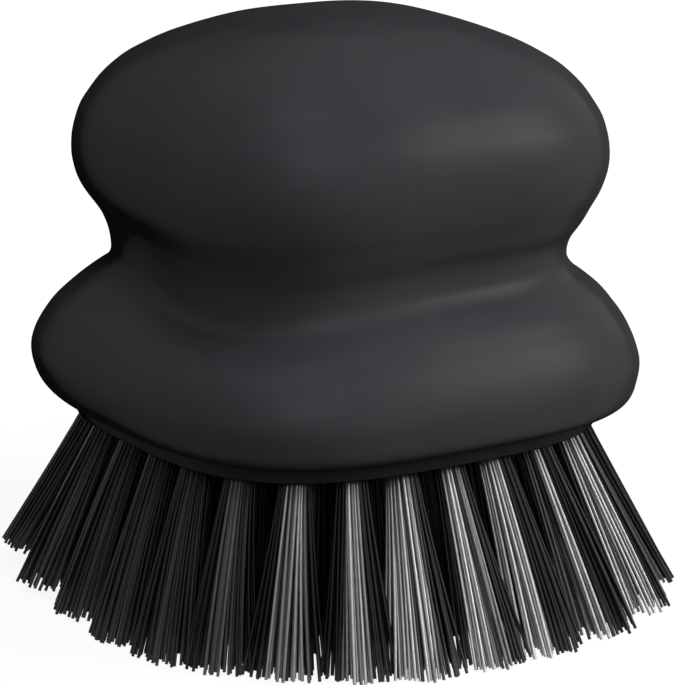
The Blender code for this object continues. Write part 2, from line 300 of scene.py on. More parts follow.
turning, given = new_shape_tree("outline to solid", {
    "Around": "Int", "Width share": "Float", "Plan power": "Float", "Shift turn": "Float",
    "Dip turn": "Float", "Dip power": "Float", "Finish": "Material",
})
rows = add(turning, "GeometryNodeAttributeDomainSize", {}, {"Geometry": given["Geometry"]}, "Point Count")
columns = given["Around"] + 1
grid = add(turning, "GeometryNodeMeshGrid", {}, {"Vertices X": rows, "Vertices Y": columns})
index = add(turning, "GeometryNodeInputIndex")
row = index.math("FLOOR", (index + 0.5) / columns)
angle = (index - row * columns) * (2 * math.pi) / given["Around"]
across, along = angle.math("COSINE", angle), angle.math("SINE", angle)
power = given["Plan power"]
reach = across.math("ABSOLUTE", across) ** power
reach = reach + (along.math("ABSOLUTE", along) / given["Width share"]) ** power
reach = reach ** (-1.0 / power)
point = add(
    turning,
    "GeometryNodeSampleIndex",
    {"data_type": "FLOAT_VECTOR", "domain": "POINT"},
    {"Geometry": given["Geometry"], "Value": add(turning, "GeometryNodeInputPosition"), "Index": row},
)
half_length = add(turning, "ShaderNodeSeparateXYZ", {}, {"Vector": point}, "X")
shift, turn = half_length.other("Y"), given["Shift turn"]
dips = add(turning, "GeometryNodeInputNamedAttribute", {"data_type": "FLOAT"}, {"Name": "dip"})
dip = add(
    turning,
    "GeometryNodeSampleIndex",
    {"data_type": "FLOAT", "domain": "POINT"},
    {"Geometry": given["Geometry"], "Value": dips, "Index": row},
)
toward_dip = angle.math("COSINE", angle - given["Dip turn"])
dip_share = angle.math("MAXIMUM", toward_dip, 0.0) ** given["Dip power"]
pressed = add(turning, "ShaderNodeCombineXYZ", {}, {
    "X": half_length * reach * across + shift * turn.math("COSINE", turn),
    "Y": half_length * reach * along + shift * turn.math("SINE", turn),
    "Z": half_length.other("Z") - dip * dip_share,
})
laid = add(turning, "GeometryNodeSetPosition", {}, {"Geometry": grid, "Position": pressed})
closed = add(turning, "GeometryNodeMergeByDistance", {}, {"Geometry": laid, "Distance": TOUCHING})
end_shape_tree(turning, closed, given["Finish"])
print("outline tree nodes:", len(turning.nodes))


def turn_outline(name, outline, around, finish, sharp_angle):
    """Makes a closed solid from an outline in millimetres: half length, shift, height and dip."""
    points = bpy.data.meshes.new(name)
    points.from_pydata([(x * MM, shift * MM, z * MM) for x, shift, z, _ in outline], [], [])
    dips = points.attributes.new("dip", "FLOAT", "POINT")
    dips.data.foreach_set("value", [dip * MM for _, _, _, dip in outline])
    piece = run_shape_tree(name, turning, {
        "Around": around, "Width share": PLAN_SHARE, "Plan power": PLAN_POWER,
        "Shift turn": SHIFT_TURN, "Dip turn": DIP_TURN, "Dip power": DIP_POWER, "Finish": finish,
    }, points)
    face_outwards(piece.data)
    piece.data.set_sharp_from_angle(angle=math.radians(sharp_angle))
    return piece


def face_outwards(mesh):
    """Turns all faces to look out of a closed solid, and smooths their shading."""
    work = bmesh.new()
    work.from_mesh(mesh)
    bmesh.ops.recalc_face_normals(work, faces=work.faces)
    if work.calc_volume(signed=True) < 0:
        bmesh.ops.reverse_faces(work, faces=work.faces)
    for face in work.faces:
        face.smooth = True
    print(mesh.name, "faces", len(work.faces), "open edges", sum(not e.is_manifold for e in work.edges),
          "volume in ml", round(work.calc_volume() * 1e6, 2))
    work.to_mesh(mesh)
    work.free()


# %% [markdown]
# The grip skin
#
# The rubber skin is one moulding: a wide bulge that the fingers hold from below, a waist, and a
# head that fills the palm. Its outline was read from both sides of the photograph. Too few points
# would leave flats, so a smooth curve runs through the stations and is cut finely. The two sides of
# the photograph differ a little, because the real grip is less regular than an oblong: its sections
# are not quite above each other. A few soft swells, each with its height, spread, widening and
# shift toward the right of the photograph, follow that. At the corner that faces the camera the
# waist also dips by almost three millimetres, and the dip fades out above, below and on both sides.
# The inside has none of this, so that it still fits the core: it follows at the wall's thickness
# and ends on a lip over the block.

# %% Model the grip skin
GRIP_STATIONS = (
    (30.9, 24.0), (32.9, 24.85), (34.4, 26.4), (35.1, 28.1), (35.3, 29.9), (34.9, 31.7), (34.1, 33.5),
    (33.0, 35.3), (31.6, 36.9), (30.1, 38.4), (28.5, 39.8), (27.1, 41.0), (26.3, 42.4), (26.2, 43.9),
    (26.6, 45.5), (27.5, 47.2), (28.5, 49.0), (29.5, 50.9), (30.2, 52.9), (30.65, 54.8), (30.66, 56.8),
    (30.3, 58.7), (29.7, 60.5), (28.7, 62.2), (27.6, 63.8), (26.3, 65.2), (24.9, 66.4), (23.3, 67.4),
    (21.7, 68.3), (20.0, 69.1), (16.6, 70.4), (13.1, 71.5), (9.4, 72.2), (5.7, 72.7), (0.0, 72.9),
)
LIP_HEIGHT = 1.5
LIP_HALF_LENGTH = 30.1
SKIN_WALL = 2.2
OUTER_STEPS = 220
INNER_STEPS = 70
GRIP_AROUND = 256
CUTS_BETWEEN_STATIONS = 24

# Each swell of the outside: its height, its spread, how much wider and how far to the right.
SWELLS = (
    (52.3, 2.4, 0.20, -0.05), (47.7, 1.8, -0.04, 0.30), (44.2, 1.9, 0.06, 0.0), (41.0, 1.6, -0.05, 0.28),
    (38.6, 2.0, 0.18, 0.32), (31.5, 3.0, -0.05, -0.20), (24.8, 1.7, 0.45, 0.35),
)
DIP = 2.7
DIP_HEIGHT = 42.5
DIP_SPREAD = 6.5


def smooth_outline(stations, steps, inset=0.0):
    """Runs a smooth curve through the stations and cuts it into even steps, set in by a distance."""
    knots = np.array(stations)
    ahead = np.array([unit(knots[1] - knots[0]), *map(unit, knots[2:] - knots[:-2]), (-1.0, 0.0)])
    fine = []
    for i in range(len(knots) - 1):
        here, there = knots[i], knots[i + 1]
        reach = np.linalg.norm(there - here) / 3
        handles = (here, here + ahead[i] * reach, there - ahead[i + 1] * reach, there)
        for t in np.linspace(0, 1, CUTS_BETWEEN_STATIONS, endpoint=False):
            weights = ((1 - t) ** 3, 3 * t * (1 - t) ** 2, 3 * t * t * (1 - t), t ** 3)
            fine.append(np.dot(weights, handles))
    fine.append(knots[-1])
    fine = np.array(fine)
    length = np.concatenate([[0], np.cumsum(np.linalg.norm(np.diff(fine, axis=0), axis=1))])
    even = np.linspace(0, length[-1], steps + 1)
    run = np.stack([np.interp(even, length, fine[:, k]) for k in (0, 1)], 1)
    slope = np.array([unit(s) for s in np.gradient(run, axis=0)])
    run = run + inset * np.stack([-slope[:, 1], slope[:, 0]], 1)
    run[-1, 0] = 0.0
    return [tuple(p) for p in run]


def unit(vector):
    return vector / np.linalg.norm(vector)


def bell(height, middle, spread):
    """One at the middle, fading softly to nothing above and below."""
    return math.exp(-(((height - middle) / spread) ** 2))


def uneven(half_length, height):
    """A point of the outside, made wider, shifted sideways and given its dip."""
    wider = sum(bell(height, at, spread) * by for at, spread, by, _ in SWELLS)
    shift = sum(bell(height, at, spread) * by for at, spread, _, by in SWELLS)
    return half_length + wider, shift, height, DIP * bell(height, DIP_HEIGHT, DIP_SPREAD)


def plain(points):
    """Points of an outline with no shift and no dip."""
    return [(x, 0.0, z, 0.0) for x, z in points]


rim = GRIP_STATIONS[0][1]
lip_top = rim + LIP_HEIGHT
top = GRIP_STATIONS[-1][1]
outer = [uneven(x, z) for x, z in smooth_outline(GRIP_STATIONS, OUTER_STEPS)]
outer[-1:] = plain([(0.0, top)])
lip = plain([(LIP_HALF_LENGTH, rim), (LIP_HALF_LENGTH, lip_top)])
inner = plain((x, z) for x, z in smooth_outline(GRIP_STATIONS, INNER_STEPS, SKIN_WALL) if z > lip_top)
whole = outer[::-1] + lip + inner
grip_skin = turn_outline("grip_skin_fine", whole, GRIP_AROUND, soft_rubber, sharp_angle=40)
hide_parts("grip_skin")
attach(grip_skin, "root")

# %% [markdown]
# The plastics of the block and the core
#
# The block is satin black plastic, with faint flow marks from the mould, a fine grain and spots
# that have been rubbed smoother. The core is paler and rougher, because the skin hides it. Noise of
# a few sizes drives both, as it does on the rubber.

# %% Make the plastics
BLOCK_DARK = (0.013, 0.013, 0.015)
BLOCK_LIGHT = (0.018, 0.018, 0.020)
BLOCK_FLOW_SIZE = 9 * MM
BLOCK_RUBBED_SIZE = 3 * MM
BLOCK_GRAIN_SIZE = 0.22 * MM
BLOCK_ROUGHNESS = 0.40
BLOCK_GLOSS = 0.05
BLOCK_RELIEF = 0.02 * MM

satin_plastic, tree, place = new_finish("satin plastic")
flow = contrast(tree, noise(tree, place, BLOCK_FLOW_SIZE, 3.0), 0.35, 0.65)
grain = noise(tree, place, BLOCK_GRAIN_SIZE, 3.0)
rubbing_and_painted_sheen = contrast(tree, noise(tree, place, BLOCK_RUBBED_SIZE, 4.0), 0.58, 0.75)
shade(
    tree,
    blend_colours(tree, flow * 0.7 + rubbing_and_painted_sheen * 0.3, BLOCK_DARK, BLOCK_LIGHT),
    BLOCK_ROUGHNESS + 0.08 * flow - 0.06 * rubbing_and_painted_sheen + 0.06 * grain,
    BLOCK_GLOSS,
    grain,
    BLOCK_RELIEF,
    soft_edge=True,
)

CORE_GREY = (0.045, 0.046, 0.050)
CORE_PALE = (0.075, 0.076, 0.080)
CORE_SWIRL_SIZE = 14 * MM
CORE_GRAIN_SIZE = 0.35 * MM
CORE_ROUGHNESS = 0.50
CORE_GLOSS = 0.40
CORE_RELIEF = 0.03 * MM

core_plastic, tree, place = new_finish("core plastic")
swirl = contrast(tree, noise(tree, place, CORE_SWIRL_SIZE, 5.0), 0.3, 0.7)
grain = noise(tree, place, CORE_GRAIN_SIZE, 2.0)
shade(
    tree,
    blend_colours(tree, swirl, CORE_GREY, CORE_PALE),
    CORE_ROUGHNESS + 0.10 * swirl + 0.06 * grain,
    CORE_GLOSS,
    grain,
    CORE_RELIEF,
)
for name in ("core_shell_front", "core_shell_back"):
    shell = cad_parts[name].data
    shell.materials.clear()
    shell.materials.append(core_plastic)
    for face in shell.polygons:
        face.material_index = 0
print("plastic finishes: satin plastic, core plastic")

# %% [markdown]
# The bristle block
#
# The block is a stiff moulding. Only the edge of its flange shows, as a thin band under the rubber,
# with a fine black joint between them. Above the flange is the seat of the grip's lip, and above
# that the spigot with a ridge that snaps into the core. Its plan is the same oblong, so the same
# tree makes it. The edges are slightly rounded, because a mould can't make sharp ones.

# %% Model the bristle block
BLOCK_UNDERSIDE = 22.0
SOLID_FLANGE = 30.8
NARROWER = 0.5
FLANGE = SOLID_FLANGE - NARROWER
FLANGE_TOP = 23.75
SEAT = 29.8
SEAT_TOP = 25.5
SPIGOT = 29.2
SPIGOT_FOOT = 26.1
SPIGOT_TOP = 31.4
RIDGE = 29.9
RIDGE_HEIGHT = 28.5
RIDGE_HALF_HEIGHT = 0.6
BLOCK_AROUND = 192


def rounded(corner, before, after, radius, steps=4):
    """Points of a rounded corner between the points before and after it."""
    corner, before, after = Vector(corner), Vector(before), Vector(after)
    start = corner + (before - corner).normalized() * radius
    end = corner + (after - corner).normalized() * radius
    run = []
    for i in range(steps + 1):
        t = i / steps
        run.append(tuple(start * (1 - t) ** 2 + corner * 2 * t * (1 - t) + end * t * t))
    return run


# The corners of the outline from the top to the underside, each with the radius of its rounding.
corners = (
    ((0.0, SPIGOT_TOP), 0),
    ((SPIGOT, SPIGOT_TOP), 0.8),
    ((SPIGOT, RIDGE_HEIGHT + RIDGE_HALF_HEIGHT), 0.1),
    ((RIDGE, RIDGE_HEIGHT), 0.15),
    ((SPIGOT, RIDGE_HEIGHT - RIDGE_HALF_HEIGHT), 0.1),
    ((SPIGOT, SPIGOT_FOOT), 0.1),
    ((SEAT, SEAT_TOP), 0.1),
    ((SEAT, FLANGE_TOP), 0),
    ((FLANGE, FLANGE_TOP), 0.25),
    ((FLANGE, BLOCK_UNDERSIDE), 0.4),
    ((0.0, BLOCK_UNDERSIDE), 0),
)
outline = []
for i, (corner, radius) in enumerate(corners):
    if radius:
        outline += rounded(corner, corners[i - 1][0], corners[i + 1][0], radius)
    else:
        outline.append(corner)
block = turn_outline("bristle_block_fine", plain(outline), BLOCK_AROUND, satin_plastic, sharp_angle=35)

# %% [markdown]
# The tuft holes
#
# Each tuft sits in a blind hole. The holes stand in four rows that follow the plan, and each row
# leans outwards a little more than the one inside it, so the tufts fan out. Holes of a row are the
# same distance apart along its line, which is found by walking round the plan in small steps.

# %% Place the tufts and drill the block
HOLE_RADIUS = 2.0
HOLE_DEPTH = 7.5
HOLE_SIDES = 20
CUTTER_OUTSIDE = 3.0
ROW_POWER = 3.6
WALKING_STEPS = 964

# Each row: its name, how far in it is, its number of tufts, the turn of the first one as a share
# of the pitch, and how many degrees the tufts lean.
TUFT_ROWS = (
    ("outer_tuft", 3.7, 26, 0.5, 25.3),
    ("middle_tuft", 9.9, 18, 0.5, 16),
    ("inner_tuft", 16.7, 8, 0.0, 10),
    ("centre_tuft", 23.5, 4, 0.5, 4),
)


def on_row(half_length, half_width, angle):
    """The point of a row of tufts in this direction from the middle."""
    c, s = math.cos(angle), math.sin(angle)
    reach = (abs(c / half_length) ** ROW_POWER + abs(s / half_width) ** ROW_POWER) ** (-1 / ROW_POWER)
    return reach * c, reach * s


def tuft_places():
    """Name, place at the underside, direction outwards and lean of each tuft."""
    places = []
    for name, inset, count, turn, lean in TUFT_ROWS:
        sizes = (SOLID_FLANGE - NARROWER - inset, SOLID_FLANGE * PLAN_SHARE - NARROWER - inset)
        angles = np.linspace(0, 2 * math.pi, WALKING_STEPS + 1)
        ring = np.array([on_row(*sizes, a) for a in angles])
        walked = np.concatenate([[0], np.cumsum(np.linalg.norm(np.diff(ring, axis=0), axis=1))])
        for i in range(count):
            outward = float(np.interp((i + turn) * walked[-1] / count, walked, angles))
            spot = Vector((*on_row(*sizes, outward), BLOCK_UNDERSIDE))
            places.append((f"{name}_{i + 1:02d}", spot, outward, math.radians(lean)))
    return places


places = tuft_places()
cutter_mesh = bpy.data.meshes.new("holes")
work = bmesh.new()
for name, spot, outward, lean in places:
    mouth = Matrix.Translation(spot * MM)
    tilt = Matrix.Rotation(outward, 4, "Z") @ Matrix.Rotation(-lean, 4, "Y")
    rise = Matrix.Translation((0, 0, (HOLE_DEPTH - CUTTER_OUTSIDE) / 2 * MM))
    bmesh.ops.create_cone(
        work,
        cap_ends=True,
        segments=HOLE_SIDES,
        radius1=HOLE_RADIUS * MM,
        radius2=HOLE_RADIUS * MM,
        depth=(HOLE_DEPTH + CUTTER_OUTSIDE) * MM,
        matrix=mouth @ tilt @ rise,
    )
work.to_mesh(cutter_mesh)
work.free()
cutter = bpy.data.objects.new("holes", cutter_mesh)
bpy.context.scene.collection.objects.link(cutter)
drill = block.modifiers.new("drill", "BOOLEAN")
drill.object, drill.solver = cutter, "EXACT"
bpy.context.view_layer.update()
drilled = bpy.data.meshes.new_from_object(block.evaluated_get(bpy.context.evaluated_depsgraph_get()))
block.modifiers.remove(drill)
block.data = drilled
bpy.data.objects.remove(cutter)
drilled.name = "bristle_block_fine"
drilled.materials.clear()
drilled.materials.append(satin_plastic)
face_outwards(drilled)
drilled.set_sharp_from_angle(angle=math.radians(35))
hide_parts("bristle_block")
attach(block, "root")
print("holes:", len(places))

# %% [markdown]
# The nylon of the strands
#
# The strands are black nylon. On the outer row the strands on one side of each tuft, where the
# lamps light it, are painted light grey as a highlight, with a clear coat over them, and the rest are
# black and duller. Three numbers that the shape tree keeps for each strand drive this: its tone,
# which is partly random and high on the painted lit side, how much painted sheen its tuft gets, and a
# number that runs from the root to the tip. The painted sheen is weaker near the root, as painted
# shade under the block, and the tips wear first. The coat has its own gloss over the darker body.

# %% Make the nylon
NYLON_BLACK = (0.003, 0.003, 0.0035)
NYLON_GREY = (0.110, 0.110, 0.117)
# Light grey for the worn tips and for the painted sheen on the lit side of the tufts.
NYLON_WORN_AND_PAINTED_SHEEN = (0.450, 0.430, 0.420)
NYLON_PATCH_SIZE = 1.2 * MM
NYLON_ROUGHNESS = 0.30
NYLON_GLOSS = 0.12
COAT_IOR = 2.0
COAT_ROUGHNESS = 0.16
# The tones that get the painted sheen.
PAINTED_SHEEN_TONES = (0.30, 0.66)
# Painted shade at the root: the painted sheen grows from the first share of the strand to the second.
PAINTED_ROOT_SHADE = (0.03, 0.16)
TIP_WEAR = 0.15

black_nylon, tree, place = new_finish("black nylon")
tone = add(tree, "ShaderNodeAttribute", {"attribute_name": "strand_tone"}, {}, "Fac")
painted_sheen_side = add(tree, "ShaderNodeAttribute", {"attribute_name": "strand_painted_sheen"}, {}, "Fac")
toward_tip = add(tree, "ShaderNodeAttribute", {"attribute_name": "toward_tip"}, {}, "Fac")
patchy = noise(tree, place, NYLON_PATCH_SIZE, 3.0)
# The painted sheen: the lit side of the outer tufts painted light grey, weaker near the root.
rubbing_and_painted_sheen = painted_sheen_side * contrast(tree, tone, *PAINTED_SHEEN_TONES) * contrast(tree, toward_tip, *PAINTED_ROOT_SHADE, 0.3, 1.0)
tip_wear = contrast(tree, toward_tip, 0.8, 1.0) * TIP_WEAR
# Strands of high tone are grey; the tone is partly random and partly the painted lit side.
colour = blend_colours(tree, tone ** 2.0, NYLON_BLACK, NYLON_GREY)
colour = blend_colours(tree, rubbing_and_painted_sheen * (0.4 + 0.6 * patchy) + tip_wear * patchy, colour, NYLON_WORN_AND_PAINTED_SHEEN)
shade(
    tree,
    colour,
    NYLON_ROUGHNESS + 0.12 * tone + 0.08 * patchy,
    NYLON_GLOSS,
    coat={"Coat Weight": rubbing_and_painted_sheen, "Coat IOR": COAT_IOR, "Coat Roughness": COAT_ROUGHNESS},
)
print("nylon nodes:", len(tree.nodes))

# %% [markdown]
# A tuft
#
# A tuft is a bundle of strands, folded over a wire and driven into its hole. Inside the hole the
# strands run side by side, and below its mouth they spread, each a little bent by use. The tufts
# were trimmed level, which leaves the tips ragged by less than a millimetre. One tree makes them
# all. It lays points along every strand, joins each strand's points to a curve, and gives the
# curves a round section. A spiral packs the strands evenly, and toward the tips they gather in a
# few clumps, as used bristles do. The bundle is flatter at the tips, because its neighbours in the
# row and behind it leave it no room.
#
# The tree also keeps what the nylon needs. Strands on the side of the tuft that is painted lit have a
# high tone, a painted highlight, inside a zone of the tuft whose middle and reach are inputs, and the
# strands of a clump have tones that are alike.

# %% Draw the tree of a tuft
STRAND_POINTS = 8
STRAND_SIDES = 6
TIP_DEPTH = 0.65
TIP_MIDDLE = 0.85
TIP_SIDES = 1.2
CROWDING = 0.45
CLUMPS = 7
GATHERING = 0.5
SPREAD_POWER = 1.15
BEND_POWER = 2.0
STRAY_POWER = 1.3
RAGGED_POWER = 2.0
# The side of each tuft that is painted lit, where the painted highlight starts, and its share away from
# that side.
PAINTED_SHEEN_FROM = math.radians(-118)
PAINTED_SHEEN_NEARNESS = (-0.35, 0.05)
AWAY_FROM_PAINTED_SHEEN = 0.15
ZONE_EDGE = 0.1
OUTSIDE_ZONE = 0.12
CLUMP_TONE_SHARE = 0.4
GOLDEN_ANGLE = 2.39996

# A Random Value node has sockets for several kinds of value. These are the ones for numbers.
RANDOM_LOW, RANDOM_HIGH, RANDOM_OWNER, RANDOM_SEED, RANDOM_RESULT = 2, 3, 7, 8, 1

tufting, given = new_shape_tree("tuft", {
    "Strands": "Int", "Root radius": "Float", "Tip radius": "Float", "Strand radius": "Float",
    "Root depth": "Float", "Place": "Vector", "Turn": "Float", "Lean": "Float", "Lift": "Float",
    "Ragged": "Float", "Bend": "Float", "Stray": "Vector", "Painted sheen": "Float", "Row tone": "Float",
    "Painted sheen middle": "Float", "Painted sheen reach": "Float", "Painted sheen more": "Float", "Seed": "Int",
    "Finish": "Material",
})
index = add(tufting, "GeometryNodeInputIndex")
strand = index.math("FLOOR", (index + 0.5) / STRAND_POINTS)
step = index - strand * STRAND_POINTS
down = index.math("MAXIMUM", step - 1, 0.0) / (STRAND_POINTS - 2)
in_hole = index.math("LESS_THAN", step, 0.5)


def chance(low, high, channel, owner=strand):
    """A random number for each strand, or for each clump of strands."""
    seed = given["Seed"] + channel
    inputs = {RANDOM_LOW: low, RANDOM_HIGH: high, RANDOM_OWNER: owner, RANDOM_SEED: seed}
    return add(tufting, "FunctionNodeRandomValue", {"data_type": "FLOAT"}, inputs, RANDOM_RESULT)


def cosine_and_sine(angle):
    return angle.math("COSINE", angle), angle.math("SINE", angle)


def offsets(gathered):
    """Where a strand is in its bundle, from the middle at 0 to the edge at 1."""
    clumping = evenly.math("SINE", evenly * CLUMPS) * gathered
    outward_x, outward_y = cosine_and_sine(evenly - clumping * (GATHERING / CLUMPS))
    return share * outward_x, share * outward_y


def keep(points, name, value):
    """Stores a value on the points, for the material."""
    settings = {"data_type": "FLOAT", "domain": "POINT"}
    inputs = {"Geometry": points, "Name": name, "Value": value}
    return add(tufting, "GeometryNodeStoreNamedAttribute", settings, inputs)


evenly = strand * GOLDEN_ANGLE + given["Seed"]
clump = evenly.math("FLOOR", evenly * (CLUMPS / (2 * math.pi)) + 0.5)
clump = clump - clump.math("FLOOR", clump / CLUMPS) * CLUMPS
share = ((strand + 0.5) / given["Strands"]) ** CROWDING
offset_x, offset_y = offsets(down)
tip_x, tip_y = offsets(1.0)
use_x, use_y = cosine_and_sine(PAINTED_SHEEN_FROM - given["Turn"])
near = tip_x * use_x + tip_y * use_y
beside = tip_y * use_x - tip_x * use_y
# The painted highlight: a share for each strand, high on the lit side of the tuft and inside the zone.
painted_sheen_share = contrast(tufting, near, *PAINTED_SHEEN_NEARNESS, AWAY_FROM_PAINTED_SHEEN, 1.0)
aside = beside.math("ABSOLUTE", beside - given["Painted sheen middle"]) - given["Painted sheen reach"]
painted_sheen_share = painted_sheen_share * contrast(tufting, aside, -ZONE_EDGE, ZONE_EDGE, 1.0, OUTSIDE_ZONE)
bend_x = given["Bend"] * chance(-1.0, 1.0, 100)
bend_y = given["Bend"] * chance(-1.0, 1.0, 200)
spread = given["Root radius"] + (given["Tip radius"] - given["Root radius"]) * down ** SPREAD_POWER
side_x = offset_x * spread * (1.0 - (1.0 - TIP_DEPTH) * down) + bend_x * down ** BEND_POWER
widening = offset_y * offset_y * (TIP_SIDES - TIP_MIDDLE) + TIP_MIDDLE
side_y = offset_y * spread * (1.0 + (widening - 1.0) * down) + bend_y * down ** BEND_POWER
lean_cosine, lean_sine = cosine_and_sine(given["Lean"])
mouth_height = add(tufting, "ShaderNodeSeparateXYZ", {}, {"Vector": given["Place"]}, "Z")
tip_height = given["Lift"] + given["Ragged"] * chance(0.0, 1.0, 300) ** RAGGED_POWER
tip_side = tip_x * given["Tip radius"] * TIP_DEPTH + bend_x
length = (mouth_height + tip_side * lean_sine - tip_height) / lean_cosine
local = add(tufting, "ShaderNodeCombineXYZ", {}, {
    "X": side_x, "Y": side_y, "Z": given["Root depth"] * in_hole - length * down,
})
tilt = add(tufting, "ShaderNodeCombineXYZ", {}, {"X": 0.0, "Y": given["Lean"] * -1.0, "Z": given["Turn"]})
turned = add(
    tufting,
    "ShaderNodeVectorRotate",
    {"rotation_type": "EULER_XYZ"},
    {"Vector": local, "Rotation": tilt},
)
strayed = add(
    tufting,
    "ShaderNodeVectorMath",
    {"operation": "SCALE"},
    {0: given["Stray"], "Scale": down ** STRAY_POWER},
)
placed = add(tufting, "ShaderNodeVectorMath", {"operation": "ADD"}, {0: turned, 1: given["Place"]})
placed = add(tufting, "ShaderNodeVectorMath", {"operation": "ADD"}, {0: placed, 1: strayed})
own_tone = (1.0 - CLUMP_TONE_SHARE) * chance(0.0, 1.0, 400)
own_tone = own_tone + CLUMP_TONE_SHARE * chance(0.0, 1.0, 500, clump) + given["Painted sheen more"]
point_count = given["Strands"] * STRAND_POINTS
points = add(tufting, "GeometryNodePoints", {}, {"Count": point_count, "Position": placed})
points = keep(points, "strand_tone", own_tone * painted_sheen_share * given["Row tone"])
points = keep(points, "toward_tip", down)
points = keep(points, "strand_painted_sheen", given["Painted sheen"])
curves = add(tufting, "GeometryNodePointsToCurves", {}, {"Points": points, "Curve Group ID": strand})
section = add(
    tufting,
    "GeometryNodeCurvePrimitiveCircle",
    {"mode": "RADIUS"},
    {"Resolution": STRAND_SIDES, "Radius": given["Strand radius"]},
)
tubes = add(
    tufting,
    "GeometryNodeCurveToMesh",
    {},
    {"Curve": curves, "Profile Curve": section, "Fill Caps": True},
)
end_shape_tree(tufting, tubes, given["Finish"])
print("tuft tree nodes:", len(tufting.nodes))

# %% [markdown]
# All the tufts
#
# Every tuft gets its own seed, so no two are alike. Use has bent the tufts a little and worn one end
# of the brush shorter. For the tufts that face the camera, one table gives how far their tips stray,
# how wide they spread and how much they are worn off, and another which part of them is painted
# grey as a highlight, all as read from the photograph. The others stray by chance. The painted sheen
# is strongest on the tufts that face toward the key lamp, and the inner rows have next to none.

# %% Make the tufts
STRANDS = 84
ROOT_RADIUS = 1.75
STRAND_RADIUS = 0.2
ROOT_DEPTH = 6.8
RAGGED = 0.25
BEND = 0.3
TIP_RADII = {"outer_tuft": 3.9, "middle_tuft": 3.8, "inner_tuft": 3.6, "centre_tuft": 3.4}
# How much painted sheen each row gets, and how much of its tone.
PAINTED_SHEEN_BY_ROW = {"outer_tuft": 1.0, "middle_tuft": 0.2, "inner_tuft": 0.05, "centre_tuft": 0.05}
TONE_BY_ROW = {"outer_tuft": 1.0, "middle_tuft": 0.5, "inner_tuft": 0.4, "centre_tuft": 0.4}
SHARP_ANGLE = 75

# How far the tips stray toward X and toward Y, how wide they spread and how much is worn off.
FRONT_TUFTS = {
    "outer_tuft_11": (0.1, 3.0, 2.8, 3.0),
    "outer_tuft_12": (1.3, 0.5, 4.4, 1.2),
    "outer_tuft_13": (1.9, -0.6, 4.0, 0.3),
    "outer_tuft_14": (1.3, -1.5, 3.5, 0.0),
    "outer_tuft_15": (2.2, -0.9, 4.1, 0.0),
    "outer_tuft_16": (2.9, 1.4, 4.3, 0.0),
    "outer_tuft_17": (2.1, 1.9, 4.3, 0.0),
    "outer_tuft_18": (1.3, 0.3, 4.4, 0.0),
    "outer_tuft_19": (-0.9, -1.5, 4.4, 0.0),
    "outer_tuft_20": (-1.1, -2.1, 4.3, 0.0),
    "outer_tuft_21": (-1.8, -1.8, 4.7, 0.0),
    "outer_tuft_22": (-0.6, -1.1, 5.0, 0.0),
    "outer_tuft_23": (0.4, -0.3, 4.8, 0.0),
    "outer_tuft_24": (2.4, 0.1, 3.0, 0.0),
}

# Middle and reach of the zone painted grey as a highlight, as shares of the tuft's half width, and
# how much lighter it is painted than the others.
PAINTED_SHEEN_ZONES = {
    "outer_tuft_17": (-0.2, 0.7, 0.0),
    "outer_tuft_18": (-0.1, 0.45, 0.1),
    "outer_tuft_19": (-0.2, 0.8, 0.25),
    "outer_tuft_20": (-0.1, 0.6, 0.0),
    "outer_tuft_21": (-0.6, 0.8, 0.05),
    "outer_tuft_22": (-0.75, 0.9, 0.15),
    "outer_tuft_23": (0.0, 0.65, 0.0),
    "outer_tuft_24": (0.0, 0.3, 0.1),
}
PAINTED_SHEEN_ZONE = (0.0, 0.6, 0.0)
STRAY = 0.8
STRAY_SEED = 7
SEEDS_FOR_A_TUFT = 1000
# The tufts that face toward this side get the painted sheen.
PAINTED_SHEEN_SIDE = math.radians(-60)
PAINTED_SHEEN_STARTS = 0.05
PAINTED_SHEEN_RISES = 0.22
LOWEST = 0.1

stray_chance = np.random.default_rng(STRAY_SEED)
for number, (name, spot, outward, lean) in enumerate(places):
    row_name = name.rsplit("_", 1)[0]
    by_chance = (*stray_chance.uniform(-STRAY, STRAY, 2), TIP_RADII[row_name], 0.0)
    stray_x, stray_y, tip_radius, worn_off = FRONT_TUFTS.get(name, by_chance)
    painted_sheen_middle, painted_sheen_reach, painted_sheen_more = PAINTED_SHEEN_ZONES.get(name, PAINTED_SHEEN_ZONE)
    # How much this tuft faces the side with the painted sheen.
    facing_painted_sheen = (math.cos(outward - PAINTED_SHEEN_SIDE) - PAINTED_SHEEN_STARTS) / PAINTED_SHEEN_RISES
    tuft = run_shape_tree(name + "_strands", tufting, {
        "Strands": STRANDS,
        "Root radius": ROOT_RADIUS * MM,
        "Tip radius": tip_radius * MM,
        "Strand radius": STRAND_RADIUS * MM,
        "Root depth": ROOT_DEPTH * MM,
        "Place": spot * MM,
        "Turn": outward,
        "Lean": lean,
        "Lift": (worn_off + LOWEST) * MM,
        "Ragged": RAGGED * MM,
        "Bend": BEND * MM,
        "Stray": Vector((stray_x, stray_y, 0.0)) * MM,
        "Painted sheen": PAINTED_SHEEN_BY_ROW[row_name] * min(1.0, max(0.0, facing_painted_sheen)),
        "Row tone": TONE_BY_ROW[row_name],
        "Painted sheen middle": painted_sheen_middle,
        "Painted sheen reach": painted_sheen_reach,
        "Painted sheen more": painted_sheen_more,
        "Seed": number * SEEDS_FOR_A_TUFT,
        "Finish": black_nylon,
    })
    tuft.data.shade_smooth()
    tuft.data.set_sharp_from_angle(angle=math.radians(SHARP_ANGLE))
    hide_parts(name)
    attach(tuft, "root")
triangles = sum(len(face.vertices) - 2 for face in tuft.data.polygons)
print("tufts:", len(places), "triangles of the last:", triangles)

